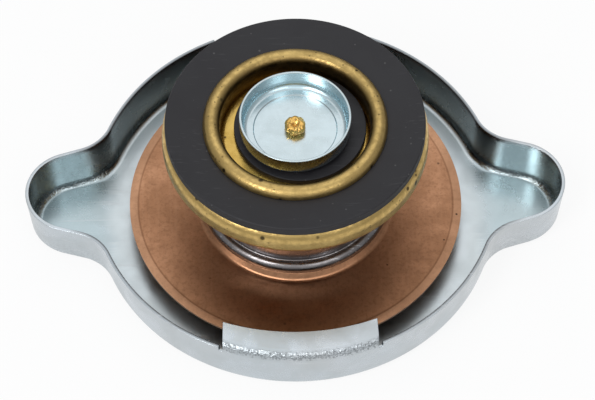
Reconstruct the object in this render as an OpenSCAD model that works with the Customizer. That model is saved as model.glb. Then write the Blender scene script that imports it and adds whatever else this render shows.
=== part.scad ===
// Pressure cap for a radiator's filler neck, lying on its outer face with the valves up.
// The origin is on the axis at the outer face, +Z runs up through the valves
// and +X along the two ears. All sizes are in millimetres.

/* [Shell] */
// Radius of the round body, outside
shell_r = 33.1; // [32:0.1:35]
// Thickness of the pressed sheet
shell_t = 0.55; // [0.5:0.05:0.8]
// Height of the skirt's rim above the outer face
skirt_h = 8.7; // [8.2:0.1:10]
// Outside radius of the bend from the outer face into the skirt
skirt_bend_r = 1.6; // [1.2:0.1:2.2]
// How far the skirt leans in from its rim to its foot
skirt_draft = 0.5; // [0:0.05:0.8]
// Distance from the axis to the tip of each ear
ear_reach = 44; // [43:0.5:48]
// Radius of an ear's round end, outside
ear_r = 7.8; // [6.5:0.1:8.5]
// Flare of an ear's sides towards the body, in degrees
ear_flare = 17; // [10:1:20]
// Radius of the fillet between an ear and the body, outside
ear_fillet_r = 7; // [5:0.5:9]
// Rise of the central boss above the shell's floor
boss_rise = 4.55; // [3.8:0.05:5]
// Radius of the boss's flat top
boss_r = 11.6; // [9:0.1:11.8]

/* [Lips] */
// Width of each lip across its ends
lip_w = 24.7; // [18:0.1:30]
// Distance from the axis to the middle of a lip's inner edge
lip_reach = 28.4; // [27.8:0.1:29.4]
// Radius of a lip's inner edge in plan
lip_edge_r = 41.6; // [32:0.2:60]
// Rise of a lip's top above the skirt's rim
lip_rise = 0.8; // [0.4:0.05:1.2]
// Outside radius of the bend from the skirt into a lip
lip_bend_r = 1.5; // [1.2:0.05:2]
// Width of the relief notch at each end of a lip
lip_notch = 0.6; // [0.4:0.1:1.2]
// Depth of that notch below the skirt's rim
notch_d = 1.1; // [0.6:0.1:1.4]

/* [Diaphragm] */
// Radius of the copper diaphragm
disc_r = 27.2; // [25:0.1:27.4]
// Thickness of the diaphragm
disc_t = 0.5; // [0.3:0.05:0.7]
// Radius of the raised pad under the bell
pad_r = 15; // [14.6:0.1:16]
// Rise of the pad above the spring annulus
pad_rise = 1; // [0.8:0.05:1.4]
// Width of the flattened band along the diaphragm's edge
disc_band = 1.4; // [0.8:0.1:2.4]
// Fall of the annulus from the pad to that band
disc_fall = 0.16; // [0.05:0.01:0.4]
// Fall of the band to the diaphragm's edge
band_fall = 0.12; // [0.05:0.01:0.3]
// Width of the groove pressed along the inner edge of the band
groove_w = 0.4; // [0.2:0.05:0.6]
// Depth of that groove
groove_d = 0.06; // [0.02:0.01:0.1]

/* [Bell] */
// Radius of the wall of the bell that holds the pressure spring, outside
bell_r = 14.1; // [14:0.1:14.5]
// Height of the bell
bell_h = 11.1; // [9.5:0.1:13]
// Thickness of the bell's sheet
bell_t = 0.8; // [0.6:0.05:0.85]
// Outside radius of the round bead folded out at the bell's foot
bead_r = 1.2; // [1:0.1:1.4]
// Radius of the fold between that bead and the wall
bead_fold_r = 0.3; // [0.2:0.05:0.4]
// Outside radius of the bend at the bell's mouth
bell_mouth_r = 1.4; // [1.2:0.1:1.5]
// Number of windows in the bell's wall
bell_windows = 4; // [3:1:6]
// Angle of the first window from +X, in degrees
window_turn = 45; // [0:5:90]
// Radius of a window in the bell's wall
window_r = 1.6; // [1:0.1:2]

/* [Rivet] */
// Radius of the centre rivet's shank
rivet_r = 3; // [2.4:0.1:3.6]
// Radius of the rivet's head, in the recess of the outer face
rivet_head_r = 6; // [5:0.1:7.5]
// Height of the rivet's head
rivet_head_h = 1.5; // [1:0.1:2.2]
// Radius of the rivet's clinched end, inside the bell
clinch_r = 5; // [4.4:0.1:6]
// Height of the clinched end
clinch_h = 1.4; // [1:0.1:2]

/* [Pressure valve] */
// Travel of the pressure valve towards the shell
valve_travel = 3.2; // [2:0.1:4]
// Radius of the brass dish, outside
dish_r = 21.15; // [20.6:0.05:21.8]
// Height of the dish's wall
dish_h = 4.6; // [4.4:0.05:4.8]
// Thickness of the dish's sheet
dish_t = 0.6; // [0.5:0.05:0.7]
// Outside radius of the bend at the dish's floor
dish_bend_r = 1.5; // [1.2:0.1:2]
// Outside radius of the dish's turned-in rim
dish_rim_r = 2; // [1.8:0.05:2.2]
// Angle through which the dish's rim turns in
dish_rim_angle = 75; // [60:5:80]
// Outside radius of the bend from the dish's floor into its neck tube
tube_bend_r = 0.8; // [0.75:0.05:0.9]
// Outside radius of the curl that holds the seal down
curl_r = 1.36; // [1.2:0.02:1.5]
// Angle of the curl past its crest
curl_angle = 92; // [88:1:100]
// Thickness of the rubber seal under the curl
seal_t = 4.7; // [4.65:0.05:5]
// Rise of the seal's face from the curl to its outer edge
seal_rise = 0.9; // [0.5:0.05:1.2]
// Radius of the seal's lip above the dish
seal_r = 20.6; // [20.2:0.05:20.8]
// Rounding of the seal's upper edge
seal_edge_r = 0.3; // [0.2:0.05:0.35]
// Rise of the vacuum seat's crown above the dish's underside
crown_rise = 2.1; // [2:0.1:2.4]
// Thickness of the vacuum seat's sheet
seat_t = 0.6; // [0.5:0.05:0.7]
// Outside radius of the bend at the crown's edge
crown_bend_r = 0.8; // [0.75:0.05:1]
// Number of flow holes in the crown
flow_holes = 6; // [4:1:8]
// Radius of a flow hole
flow_hole_r = 1.1; // [0.8:0.1:1.2]
// Radius of the circle of flow holes
flow_pitch_r = 6.2; // [5.8:0.1:6.4]

/* [Vacuum valve] */
// Travel of the vacuum valve away from its seat
vacuum_travel = 2.5; // [1.5:0.1:3]
// Radius of the zinc-plated cup, outside
cup_r = 8.83; // [8.4:0.05:9.2]
// Height of the cup
cup_h = 3.85; // [3.4:0.05:4.2]
// Thickness of the cup's sheet
cup_t = 0.4; // [0.3:0.05:0.5]
// Outside radius of the bend at the cup's foot
cup_bend_r = 1.2; // [1:0.1:1.6]
// Thickness of the washer
washer_t = 1.5; // [1.2:0.05:1.8]
// Hole radius of the washer
washer_hole_r = 1.9; // [1.85:0.05:2.2]
// How far the loose washer has slipped along +X
washer_slip = 0.6; // [0:0.05:0.6]
// Radius of the stem's shank
stem_r = 1.1; // [0.9:0.05:1.3]
// Radius of the stem's peened head
stem_head_r = 1.7; // [1.5:0.05:2]
// Height of the stem's peened head
stem_head_h = 1.2; // [0.9:0.05:1.5]
// Radius of the keeper at the stem's foot
keeper_r = 4.2; // [3.9:0.1:4.6]
// Thickness of the keeper
keeper_t = 0.5; // [0.4:0.05:0.7]
// Length of the stem's clinched foot below the keeper
stem_foot_h = 0.6; // [0.4:0.05:0.8]

/* [Springs] */
// Wire diameter of the pressure spring
pressure_wire = 1.9; // [1.5:0.1:2.1]
// Working turns of the pressure spring
pressure_turns = 3.5; // [3:0.25:3.5]
// Wire diameter of the vacuum spring
vacuum_wire = 0.55; // [0.4:0.05:0.65]
// Working turns of the vacuum spring
vacuum_turns = 4; // [3:0.25:5]
// Mean radius of the vacuum spring's coil
vacuum_coil_r = 3.1; // [2.6:0.1:3.4]

/* [Clearances] */
// Axial play of the bell and diaphragm on the rivet, at each face
swivel_play = 0.1; // [0.05:0.05:0.2]
// Radial running clearance of shafts in their holes
running_gap = 0.05; // [0.02:0.01:0.1]
// Play between the seat's flange and the bell's mouth
retain_play = 0.1; // [0.05:0.05:0.2]
// Space left between the dish and the bell at full travel
stop_gap = 0.4; // [0.3:0.1:0.8]
// How far the bell's mouth laps over the vacuum seat's flange
mouth_lap = 0.5; // [0.4:0.05:0.6]
// Radial room between the bell's wall and the vacuum seat's flange
flange_gap = 0.5; // [0.4:0.05:0.55]
// Radial room between the bell's mouth and the vacuum seat's wall, which fits the dish's neck tube
mouth_gap = 0.4; // [0.3:0.05:0.5]
// Radial room round the rubber washer under the cup, in the neck tube
washer_gap = 1.9; // [1.7:0.05:2.4]
// Radial room between the pressure spring and the vacuum seat's wall
coil_gap = 0.95; // [0.6:0.05:1.2]
// Room between rubber or wire and the metal that it bears on
contact_gap = 0.05; // [0.02:0.01:0.1]

/* [Hidden] */
$fn = 96;

// Number of sides of a spring's wire, and of wire sections in each turn of its coil
wire_sides = 8;
turn_sections = 24;
// Closed turns at each end of a spring, and their pitch as a multiple of the wire
closed_turns = 0.75;
closed_pitch = 1.05;

// A worked-out place rounded to the micrometre, so that pieces of one section meet exactly
function snap(x) = round(1000 * x) / 1000;

// Heights, stacked up from the outer face
boss_z = shell_t + boss_rise;
disc_z = boss_z + swivel_play;
bell_z = disc_z + disc_t;
bell_floor_z = bell_z + bell_t;
bell_top_z = bell_z + bell_h;
flange_top_z = bell_top_z - bell_t - retain_play;
dish_z = bell_top_z + valve_travel + stop_gap;
dish_floor_z = dish_z + dish_t;
seal_face_z = dish_floor_z + seal_t;
crown_z = dish_z + crown_rise;
crown_under_z = crown_z - seat_t;
washer_z = crown_z + contact_gap;
cup_z = washer_z + washer_t;
cup_floor_z = cup_z + cup_t;
vacuum_solid_h = (vacuum_turns + 2 * closed_turns + 1) * closed_pitch * vacuum_wire;
vacuum_spring_h = snap(vacuum_solid_h + vacuum_travel);
keeper_z = crown_under_z - vacuum_spring_h - keeper_t;
lip_top_z = skirt_h + lip_rise;
lip_foot_z = lip_top_z - lip_bend_r;

// Radii that follow from the pieces they fit
boss_bend_r = boss_rise / 2;
boss_foot_r = boss_r + 2 * boss_bend_r;
step_bend_r = pad_rise / 2;
swivel_hole_r = rivet_r + running_gap;
bell_in_r = bell_r - bell_t;
flange_r = bell_in_r - flange_gap;
mouth_r = flange_r - mouth_lap;
tube_r = mouth_r - mouth_gap;
seat_in_r = tube_r - seat_t;
neck_r = tube_r + dish_t;
washer_r = tube_r - washer_gap;
guide_r = stem_r + running_gap;
pressure_coil_r = seat_in_r - coil_gap - pressure_wire / 2;
dish_rim_z = snap(dish_z + dish_h - dish_rim_r * sin(dish_rim_angle));
dish_mouth_r = dish_r - dish_rim_r + (dish_rim_r - dish_t) * cos(dish_rim_angle);
seal_body_r = dish_mouth_r - contact_gap;
seal_lip_z = dish_z + dish_h + contact_gap;

// Ear outline: the side's outward normal, and the centre of the fillet that blends it into the body
ear_x = ear_reach - ear_r;
side_n = [sin(ear_flare), cos(ear_flare)];
side_d = [cos(ear_flare), -sin(ear_flare)];
side_off = ear_x * sin(ear_flare) + ear_r + ear_fillet_r;
fillet_c = side_off * side_n + sqrt(pow(shell_r + ear_fillet_r, 2) - pow(side_off, 2)) * side_d;
fillet_dir = atan2(fillet_c[1], fillet_c[0]);

// Columns of the shell's outline: steps of each arc and bend, the angles of a lip's end and of the rim
// past its relief notch, and the lean of the notch's side
fillet_steps = 9;
ear_steps = 18;
body_steps = 10;
lip_steps = 14;
bend_steps = 4;
lip_a = asin(lip_w / 2 / shell_r);
rim_a = asin((lip_w / 2 + lip_notch) / shell_r);
notch_lean = 0.1;
body_step = (90 - rim_a - fillet_dir) / (body_steps + 1);
// Height of a relief notch's floor, how far a lip's root laps into the skirt below it, and how far
// inside the skirt's sheet that root lies
notch_z = skirt_h - notch_d;
lip_lap = 0.5;
lip_inset = 0.1;
// Break of the skirt's sheared rim edges, and the steps of its rounding
rim_edge = 0.15;
edge_steps = 2;
// Radius of the hole in the pan's floor past the boss's foot, and the lap of the two
pan_margin = 0.5;
pan_hole_r = boss_foot_r + pan_margin;
pan_lap = 0.7;

// A bent stretch of sheet in section: outside radius r, thickness t, from angle a0 to a1
module bend(r, t, a0, a1) {
    mid = (a0 + a1) / 2;
    far = 2 * r;
    intersection() {
        difference() {
            circle(r);
            circle(r - t);
        }
        polygon([[0, 0], far * [cos(a0), sin(a0)], far * [cos(mid), sin(mid)], far * [cos(a1), sin(a1)]]);
    }
}

// A flat stretch of sheet in section, between two radii
module web(r0, r1, z, t) {
    translate([r0, z])
        square([r1 - r0, t]);
}

// The S-shaped joggle of a sheet from height z at radius r down by rise, in section
module joggle(r, z, rise, t) {
    m = rise / 2;
    translate([r, z + t / 2 - m])
        bend(m + t / 2, t, 0, 90);
    translate([r + 2 * m, z + t / 2 - m])
        bend(m + t / 2, t, 180, 270);
}

// Columns along an arc of the shell's outline: a point on it, the way inwards,
// and the skirt's height there
function arc_columns(centre, r, a0, a1, steps, inwards, top = skirt_h) =
    [for (i = [0 : steps])
        let (a = a0 + (a1 - a0) * i / steps, u = [cos(a), sin(a)])
        [centre + r * u, inwards * u, top]];

// Columns of the body's arc that carry a lip, and of the notches at its ends
lip_columns = arc_columns([0, 0], shell_r, 90 - lip_a, 90 + lip_a, lip_steps, -1, notch_z);
notch_out_a = rim_a - notch_lean;
notch_columns = arc_columns([0, 0], shell_r, 90 - notch_out_a, 90 + notch_out_a, 1, -1, notch_z);

// Half of the outline, from one fillet round an ear to the far end of the body's arc
near_fillet_c = [fillet_c[0], -fillet_c[1]];
half_outline = concat(
    arc_columns(near_fillet_c, ear_fillet_r, 180 - fillet_dir, 90 + ear_flare, fillet_steps, 1),
    arc_columns([ear_x, 0], ear_r, ear_flare - 90, 90 - ear_flare, ear_steps, -1),
    arc_columns(fillet_c, ear_fillet_r, 270 - ear_flare, 180 + fillet_dir, fillet_steps, 1),
    arc_columns([0, 0], shell_r, fillet_dir + body_step, 90 - rim_a, body_steps, -1),
    [notch_columns[0]],
    lip_columns,
    [notch_columns[1]],
    arc_columns([0, 0], shell_r, 90 + rim_a, 180 - fillet_dir - body_step, body_steps, -1));
outline = concat(half_outline, [for (c = half_outline) [-c[0], -c[1], c[2]]]);

// A bent stretch of sheet as points: bend radius r about [d, z], from angle a0 to a1
function bend_points(d, z, r, a0, a1, steps) =
    [for (i = [0 : steps])
        let (a = a0 + (a1 - a0) * i / steps)
        [d + r * cos(a), z + r * sin(a)]];

// The skirt's sheared rim in section, as [distance inwards, height], with its edges broken
function rim_section(top) = concat(
    bend_points(rim_edge, top - rim_edge, rim_edge, 180, 90, edge_steps),
    bend_points(shell_t - rim_edge, top - rim_edge, rim_edge, 90, 0, edge_steps));

// Where a column's lip ends in plan: straight in along Y from its bend to the lip's curved inner edge
function lip_end(c) =
    let (foot = c[0] + lip_bend_r * c[1], way = sign(foot[1]))
    [foot[0], way * (lip_reach - lip_edge_r + sqrt(pow(lip_edge_r, 2) - pow(foot[0], 2)))];

// Points of a section set out on a column, inwards and up
function on_column(c, section) = [for (p = section) [each c[0] + p[0] * c[1], p[1]]];

// A lip at a column: up from its root, round the bend, in to its edge and back underneath
function lip_section(c) = concat(
    on_column(c, [[lip_inset, notch_z - lip_lap]]),
    on_column(c, bend_points(lip_bend_r, lip_foot_z, lip_bend_r, 180, 90, bend_steps)),
    [[each lip_end(c), lip_top_z], [each lip_end(c), lip_top_z - shell_t]],
    on_column(c, bend_points(lip_bend_r, lip_foot_z, lip_bend_r - shell_t, 90, 180, bend_steps)),
    on_column(c, [[shell_t - lip_inset, notch_z - lip_lap]]));

// The whole section at a column: under the floor, up the skirt, over the rim and back in on the floor
function shell_section(c) =
    let (u = c[0] / norm(c[0]), hole = pan_hole_r * u, b = skirt_bend_r, d = b + skirt_draft)
    concat(
        [[each hole, 0]],
        on_column(c, bend_points(d, b, b, 270, 180, bend_steps)),
        on_column(c, rim_section(c[2])),
        on_column(c, bend_points(d, b, b - shell_t, 180, 270, bend_steps)),
        [[each hole, shell_t]]);

// Faces between neighbouring sections of count points each
function loft_faces(count, sections, closed) =
    [for (i = [0 : sections - (closed ? 1 : 2)], j = [0 : count - 1])
        let (i2 = (i + 1) % sections, j2 = (j + 1) % count)
        [i * count + j, i * count + j2, i2 * count + j2, i2 * count + j]];

// Floor, skirt and ears as one pressing, open in the middle for the boss
module pan() {
    sections = [for (c = outline) shell_section(c)];
    polyhedron([for (s = sections, p = s) p], loft_faces(len(sections[0]), len(sections), true));
}

// A lip, turned in from the skirt, with its two ends closed
module lip() {
    sections = [for (c = lip_columns) lip_section(c)];
    count = len(sections[0]);
    last = lip_steps * count;
    pairs = [0 : count / 2 - 2];
    near_end = [for (j = pairs) [j + 1, j, count - 1 - j, count - 2 - j]];
    far_end = [for (j = pairs) [last + j, last + j + 1, last + count - 2 - j, last + count - 1 - j]];
    polyhedron([for (s = sections, p = s) p],
               concat(near_end, loft_faces(count, len(sections), false), far_end));
}

// Pressed steel shell: round body, two hollow ears, a central boss and two inturned lips
module cap_shell() {
    color("silver")
        union() {
            pan();
            lip();
            rotate(180)
                lip();
            rotate_extrude() {
                web(boss_foot_r, pan_hole_r + pan_lap, 0, shell_t);
                joggle(boss_r, boss_rise, boss_rise, shell_t);
                web(rivet_r, boss_r, boss_rise, shell_t);
            }
        }
}

// Copper diaphragm: a raised pad under the bell, a springy annulus and a flattened edge
module diaphragm_disc() {
    annulus_r = pad_r + 2 * step_bend_r;
    annulus_z = disc_z - pad_rise;
    band_r = disc_r - disc_band;
    band_z = annulus_z - disc_fall;
    edge_z = band_z - band_fall;
    color("peru")
        rotate_extrude() {
            web(swivel_hole_r, pad_r, disc_z, disc_t);
            joggle(pad_r, disc_z, pad_rise, disc_t);
            difference() {
                polygon([[annulus_r, annulus_z], [band_r, band_z], [disc_r, edge_z],
                         [disc_r, edge_z + disc_t], [band_r, band_z + disc_t],
                         [annulus_r, annulus_z + disc_t]]);
                translate([band_r, band_z + disc_t])
                    polygon([[0, -groove_d], [groove_w, groove_d], [-groove_w, groove_d]]);
            }
        }
}

// A rivet's low domed end in section: radius r, height h, rising from z in direction dir
module dome_section(r, h, z, dir) {
    ball_r = (r * r + h * h) / (2 * h);
    intersection() {
        translate([0, z + dir * (h - ball_r)])
            circle(ball_r);
        translate([0, dir > 0 ? z : z - h])
            square([r, h]);
    }
}

// Centre rivet: head in the shell's recess, clinched end over the bell's floor
module centre_rivet() {
    clinch_z = bell_floor_z + swivel_play;
    color("gainsboro")
        rotate_extrude() {
            dome_section(rivet_head_r, rivet_head_h, boss_rise, -1);
            web(0, rivet_r, boss_rise, clinch_z - boss_rise);
            dome_section(clinch_r, clinch_h, clinch_z, 1);
        }
}

// Steel bell: a cup that holds the pressure spring, with a bead round its foot and its mouth turned in
// over the valve
module bell_housing() {
    bead_c_r = bell_r + bead_fold_r;
    fold_z = bell_z + 2 * bead_r + bead_fold_r;
    wall_h = bell_top_z - bell_mouth_r - fold_z;
    color("dimgray")
        difference() {
            rotate_extrude() {
                web(swivel_hole_r, bead_c_r, bell_z, bell_t);
                translate([bead_c_r, bell_z + bead_r])
                    bend(bead_r, bell_t, 270, 450);
                translate([bead_c_r, fold_z])
                    bend(bead_fold_r + bell_t, bell_t, 180, 270);
                translate([bell_in_r, fold_z])
                    square([bell_t, wall_h]);
                translate([bell_r - bell_mouth_r, bell_top_z - bell_mouth_r])
                    bend(bell_mouth_r, bell_t, 0, 90);
                web(mouth_r, bell_r - bell_mouth_r, bell_top_z - bell_t, bell_t);
            }
            for (i = [0 : bell_windows - 1])
                rotate(window_turn + i * 360 / bell_windows)
                    translate([bell_in_r / 2, 0, fold_z + wall_h / 2])
                        rotate([0, 90, 0])
                            cylinder(r = window_r, h = bell_r);
        }
}

// Height of a spring wire's centre after a number of turns, above the first ring
function coil_rise(turn, turns, wire, rise) =
    let (closed = closed_turns * closed_pitch * wire)
    turn < closed_turns ? turn * closed_pitch * wire
    : turn > closed_turns + turns
        ? rise - (2 * closed_turns + turns - turn) * closed_pitch * wire
        : closed + (turn - closed_turns) * (rise - 2 * closed) / turns;

// A compression spring standing at z: coil radius r, overall length h
module spring(r, wire, turns, z, h) {
    total = turns + 2 * closed_turns;
    rings = floor(total * turn_sections);
    rise = h - wire;
    points = [for (i = [0 : rings], k = [0 : wire_sides - 1])
        let (turn = i * total / rings, a = 360 * turn, b = 360 * k / wire_sides)
        [(r + wire / 2 * cos(b)) * cos(a),
         (r + wire / 2 * cos(b)) * sin(a),
         z + wire / 2 + coil_rise(turn, turns, wire, rise) + wire / 2 * sin(b)]];
    walls = [for (i = [0 : rings - 1], k = [0 : wire_sides - 1])
        let (next = (k + 1) % wire_sides)
        [i * wire_sides + k, i * wire_sides + next,
         (i + 1) * wire_sides + next, (i + 1) * wire_sides + k]];
    start_cap = [for (k = [wire_sides - 1 : -1 : 0]) k];
    end_cap = [for (k = [0 : wire_sides - 1]) rings * wire_sides + k];
    polyhedron(points, concat([start_cap, end_cap], walls));
}

// Pressure spring, between the bell's floor and the crown of the vacuum seat
module pressure_spring() {
    z = bell_floor_z + contact_gap;
    color("lightsteelblue")
        spring(pressure_coil_r, pressure_wire, pressure_turns, z, crown_under_z - contact_gap - z);
}

// Brass dish of the pressure valve: rolled rim, floor, neck tube and the curl over the seal
module seal_dish() {
    curl_z = seal_face_z + contact_gap;
    color("darkgoldenrod")
        rotate_extrude() {
            translate([dish_r - dish_rim_r, dish_rim_z])
                bend(dish_rim_r, dish_t, 0, dish_rim_angle);
            translate([dish_r - dish_t, dish_z + dish_bend_r])
                square([dish_t, dish_rim_z - dish_z - dish_bend_r]);
            translate([dish_r - dish_bend_r, dish_z + dish_bend_r])
                bend(dish_bend_r, dish_t, 270, 360);
            web(tube_r + tube_bend_r, dish_r - dish_bend_r, dish_z, dish_t);
            translate([tube_r + tube_bend_r, dish_z + tube_bend_r])
                bend(tube_bend_r, dish_t, 180, 270);
            translate([tube_r, dish_z + tube_bend_r])
                square([dish_t, curl_z - dish_z - tube_bend_r]);
            translate([tube_r + curl_r, curl_z])
                bend(curl_r, dish_t, 90, 180);
            translate([tube_r + curl_r, curl_z])
                bend(curl_r, dish_t, 90 - curl_angle, 90);
        }
}

// Rubber seal of the pressure valve, held in the dish by the curl
module pressure_seal() {
    curl_foot_r = tube_r + 2 * curl_r + 2 * contact_gap;
    heel = tube_bend_r - dish_t;
    fill_r = dish_rim_r - dish_t - contact_gap;
    fill_c_r = dish_r - dish_rim_r;
    fill_angle = acos((seal_body_r - fill_c_r) / fill_r);
    face_z = seal_face_z + seal_rise;
    crest_r = seal_r - seal_edge_r;
    color("black")
        rotate_extrude() {
            polygon(concat(
                [[neck_r, dish_floor_z + heel], [neck_r + heel, dish_floor_z],
                 [dish_r - dish_bend_r, dish_floor_z], [fill_c_r + fill_r, dish_z + dish_bend_r]],
                bend_points(fill_c_r, dish_rim_z, fill_r, 0, fill_angle, bend_steps),
                [[seal_body_r, seal_lip_z], [seal_r, seal_lip_z + contact_gap],
                 [seal_r, face_z - seal_edge_r], [crest_r, face_z - seal_edge_r], [crest_r, face_z],
                 [curl_foot_r, seal_face_z], [neck_r, seal_face_z]]));
            translate([crest_r, face_z - seal_edge_r])
                circle(seal_edge_r);
        }
}

// Vacuum seat: a brass hat pressed up into the dish's neck tube, with its flange caught by the bell
module vacuum_seat() {
    flange_z = flange_top_z - seat_t;
    wall_top = crown_z - crown_bend_r;
    color("goldenrod")
        difference() {
            rotate_extrude() {
                web(seat_in_r, flange_r, flange_z, seat_t);
                translate([seat_in_r, flange_z])
                    square([seat_t, wall_top - flange_z]);
                translate([tube_r - crown_bend_r, wall_top])
                    bend(crown_bend_r, seat_t, 0, 90);
                web(guide_r, tube_r - crown_bend_r, crown_under_z, seat_t);
            }
            for (i = [0 : flow_holes - 1])
                rotate(i * 360 / flow_holes)
                    translate([flow_pitch_r, 0, flange_z])
                        cylinder(r = flow_hole_r, h = 2 * (crown_z - flange_z));
        }
}

// Rubber washer of the vacuum valve, loose on the stem
module vacuum_seal() {
    color("black")
        translate([washer_slip, 0, washer_z])
            difference() {
                cylinder(r = washer_r, h = washer_t);
                translate([0, 0, -washer_t])
                    cylinder(r = washer_hole_r, h = 3 * washer_t);
            }
}

// Zinc-plated cup of the vacuum valve
module vacuum_cup() {
    color("lightgray")
        rotate_extrude() {
            web(stem_r, cup_r - cup_bend_r, cup_z, cup_t);
            translate([cup_r - cup_bend_r, cup_z + cup_bend_r])
                bend(cup_bend_r, cup_t, 270, 360);
            translate([cup_r - cup_t, cup_z + cup_bend_r])
                square([cup_t, cup_h - cup_bend_r]);
        }
}

// Brass stem of the vacuum valve: peened head in the cup, clinched foot under the keeper
module vacuum_stem() {
    foot_r = stem_r + keeper_t;
    color("gold")
        rotate_extrude() {
            dome_section(stem_head_r, stem_head_h, cup_floor_z, 1);
            web(0, stem_r, keeper_z, cup_floor_z - keeper_z);
            dome_section(foot_r, stem_foot_h, keeper_z, -1);
        }
}

// Vacuum spring, between the crown of the vacuum seat and the keeper
module vacuum_spring() {
    z = keeper_z + keeper_t + contact_gap;
    color("lightsteelblue")
        spring(vacuum_coil_r, vacuum_wire, vacuum_turns, z, vacuum_spring_h - 2 * contact_gap);
}

// Keeper plate on the stem's foot
module stem_keeper() {
    color("goldenrod")
        translate([0, 0, keeper_z])
            difference() {
                cylinder(r = keeper_r, h = keeper_t);
                translate([0, 0, -keeper_t])
                    cylinder(r = stem_r, h = 3 * keeper_t);
            }
}

cap_shell();
diaphragm_disc();
centre_rivet();
bell_housing();
pressure_spring();
seal_dish();
pressure_seal();
vacuum_seat();
vacuum_seal();
vacuum_cup();
vacuum_stem();
vacuum_spring();
stem_keeper();
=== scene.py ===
from math import asin, atan2, cos, hypot, pi, radians, sin, sqrt, tau

import bmesh
import bpy
from mathutils import Matrix, Vector


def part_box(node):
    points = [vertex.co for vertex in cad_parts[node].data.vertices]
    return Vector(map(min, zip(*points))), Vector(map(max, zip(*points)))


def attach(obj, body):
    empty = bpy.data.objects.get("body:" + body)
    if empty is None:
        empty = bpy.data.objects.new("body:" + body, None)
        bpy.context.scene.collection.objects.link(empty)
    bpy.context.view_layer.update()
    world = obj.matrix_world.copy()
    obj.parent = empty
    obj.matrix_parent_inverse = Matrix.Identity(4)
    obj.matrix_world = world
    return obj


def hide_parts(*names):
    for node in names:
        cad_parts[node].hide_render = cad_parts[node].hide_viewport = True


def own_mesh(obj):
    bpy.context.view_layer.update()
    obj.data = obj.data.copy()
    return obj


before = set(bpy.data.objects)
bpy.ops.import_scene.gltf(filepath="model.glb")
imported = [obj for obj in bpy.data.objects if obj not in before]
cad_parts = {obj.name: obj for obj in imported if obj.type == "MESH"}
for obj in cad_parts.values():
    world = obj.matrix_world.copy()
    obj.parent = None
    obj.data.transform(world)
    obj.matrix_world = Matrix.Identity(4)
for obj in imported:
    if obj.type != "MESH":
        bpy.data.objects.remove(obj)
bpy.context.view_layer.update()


# Shell
# Pressed and zinc-plated steel sheet: a round pan with two hollow ears to turn it by, a boss in the
# middle for the rivet, and a lip turned in at the front and the back that grips the filler neck.
mm = 0.001
ear_reach, shell_r, lip_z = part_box("cap_shell")[1]
sheet = 0.55 * mm
sheared_edge = 0.14 * mm
rim_drop = 0.8 * mm
rim_z = lip_z - rim_drop
skirt_lean = 0.07
foot_bend_r = 1.6 * mm
ear_r = 7.8 * mm
ear_flare = radians(17)
ear_fillet_r = 7 * mm
lip_half = 12.35 * mm
lip_notch = 0.6 * mm
lip_notch_depth = 0.1 * mm
lip_bend_r = 1.5 * mm
lip_tilt = 0.2 * mm
lip_reach = 28.4 * mm
lip_end = 12.15 * mm
lip_edge_r = 35 * mm
boss_rise = 4.55 * mm
boss_wall_r = 13.6 * mm
boss_foot_bend_r = 2.55 * mm
boss_top_bend_r = 1.995 * mm
rivet_hole_r = 3 * mm
ear_steps, side_steps, fillet_steps, body_steps, notch_steps, lip_steps = 30, 4, 22, 26, 1, 24
bend_steps, boss_bend_steps = 8, 6
floor_cuts = 12
slack = 0.002 * mm
true_edge = radians(50)
smooth_up_to = radians(40)
UP = (0, 0, -1)  # spin turns clockwise about its axis, so this one turns anticlockwise in plan


def start_at(place):
    """Adds a point to the mesh in edit mode and leaves it alone selected."""
    bpy.ops.mesh.select_mode(type="VERT")
    bpy.ops.mesh.select_all(action="DESELECT")
    bpy.ops.mesh.primitive_plane_add(size=mm)
    bpy.ops.mesh.merge(type="CENTER")
    bpy.ops.transform.translate(value=place)


def new_piece(name):
    """A new piece with no points yet, left in edit mode."""
    bpy.ops.object.select_all(action="DESELECT")
    bpy.ops.mesh.primitive_plane_add(size=mm)
    piece = bpy.context.object
    piece.name = piece.data.name = name
    bpy.ops.object.mode_set(mode="EDIT")
    bpy.ops.mesh.delete(type="VERT")
    return piece


def extrude(*way):
    bpy.ops.mesh.extrude_region_move(TRANSFORM_OT_translate={"value": way})


def arc(centre, angle, steps, axis):
    bpy.ops.mesh.spin(steps=steps, angle=angle, center=centre, axis=axis)


def bend(radius, steps):
    """Rounds the picked edges."""
    bpy.ops.mesh.bevel(offset=radius, segments=steps, affect="EDGES")


def pick(test, longer_than=0):
    """Selects the edges of the piece in edit mode whose two ends both pass the test."""
    bpy.ops.mesh.select_mode(type="EDGE")
    bpy.ops.mesh.select_all(action="DESELECT")
    edit = bmesh.from_edit_mesh(bpy.context.object.data)
    for edge in edit.edges:
        edge.select_set(edge.calc_length() > longer_than and all(test(v.co) for v in edge.verts))
    bmesh.update_edit_mesh(bpy.context.object.data)


def near(a, b):
    return abs(a - b) < slack


def from_axis(p):
    return hypot(p.x, p.y)


def merge_and_face_out(inside=False):
    bpy.ops.mesh.select_all(action="SELECT")
    bpy.ops.mesh.remove_doubles(threshold=slack / 4)
    bpy.ops.mesh.normals_make_consistent(inside=inside)


def modify(piece, kind, **settings):
    """Adds a modifier to the piece and applies it."""
    made = piece.modifiers.new(kind, kind)
    for name, value in settings.items():
        setattr(made, name, value)
    bpy.context.view_layer.objects.active = piece
    bpy.ops.object.modifier_apply(modifier=made.name)


def add_wall(piece, thickness):
    """Gives a bent sheet its thickness, behind the drawn side."""
    modify(piece, "SOLIDIFY", thickness=thickness, offset=-1, use_even_offset=True)


def break_edges(piece, width, segments=2):
    """Takes the sharpness off every true edge."""
    modify(piece, "BEVEL", width=width, segments=segments, limit_method="ANGLE", angle_limit=true_edge)


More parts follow.
